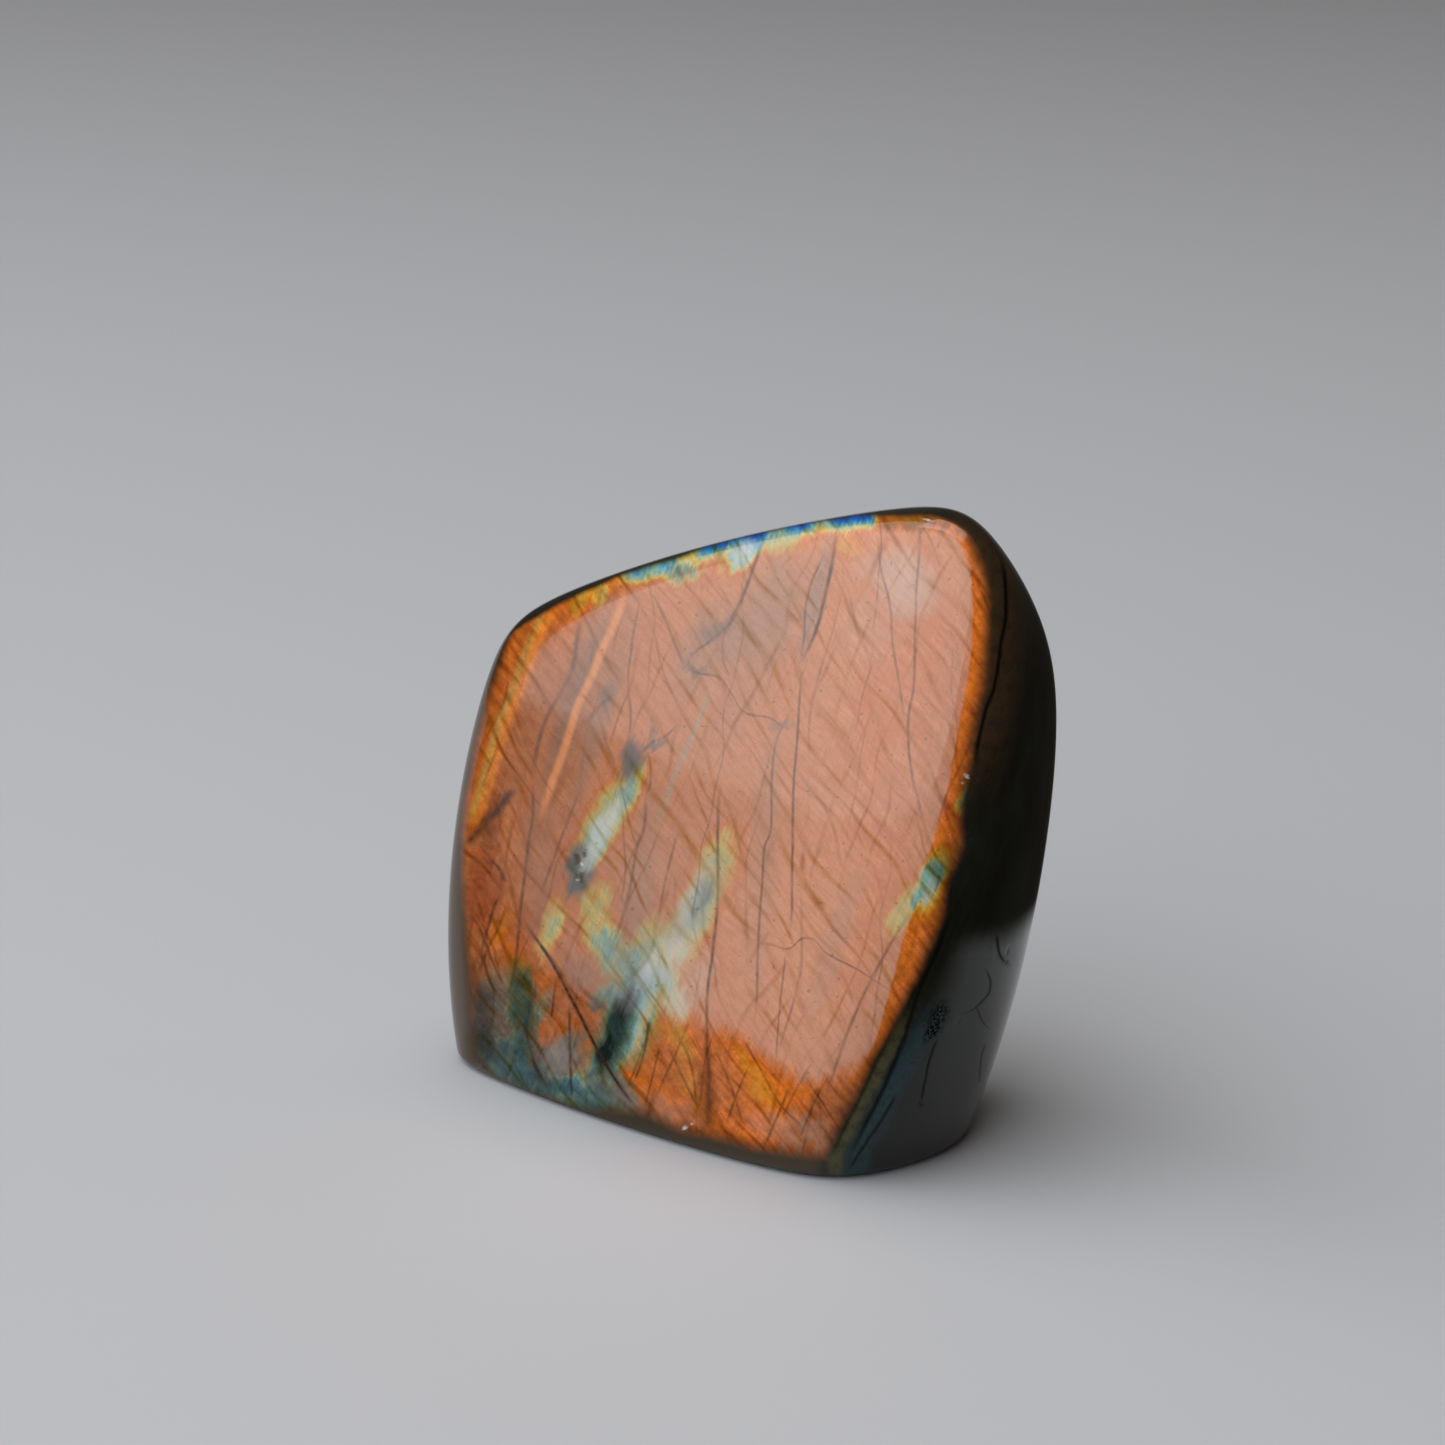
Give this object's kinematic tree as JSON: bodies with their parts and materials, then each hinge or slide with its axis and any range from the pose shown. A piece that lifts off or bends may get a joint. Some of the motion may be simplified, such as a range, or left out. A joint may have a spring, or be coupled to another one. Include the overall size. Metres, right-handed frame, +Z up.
{
  "type": "labradorite freeform",
  "caption": "Polished labradorite freeform that stands on a flat cut base, with a broad crowned flash face.",
  "frame": {"origin": "on the flat base, below the stone's centre of mass", "axes": "+Z up, -Y out of the broad flash face, +X toward the dark blunt end"},
  "size_m": [0.1003, 0.0526, 0.1016],
  "materials": {
    "stone": "polished, copper-orange labradorescence with blue and yellow-green patches over a dark grey-green body"
  },
  "bodies": {
    "root": {"labradorite": "stone"}
  },
  "joints": []
}
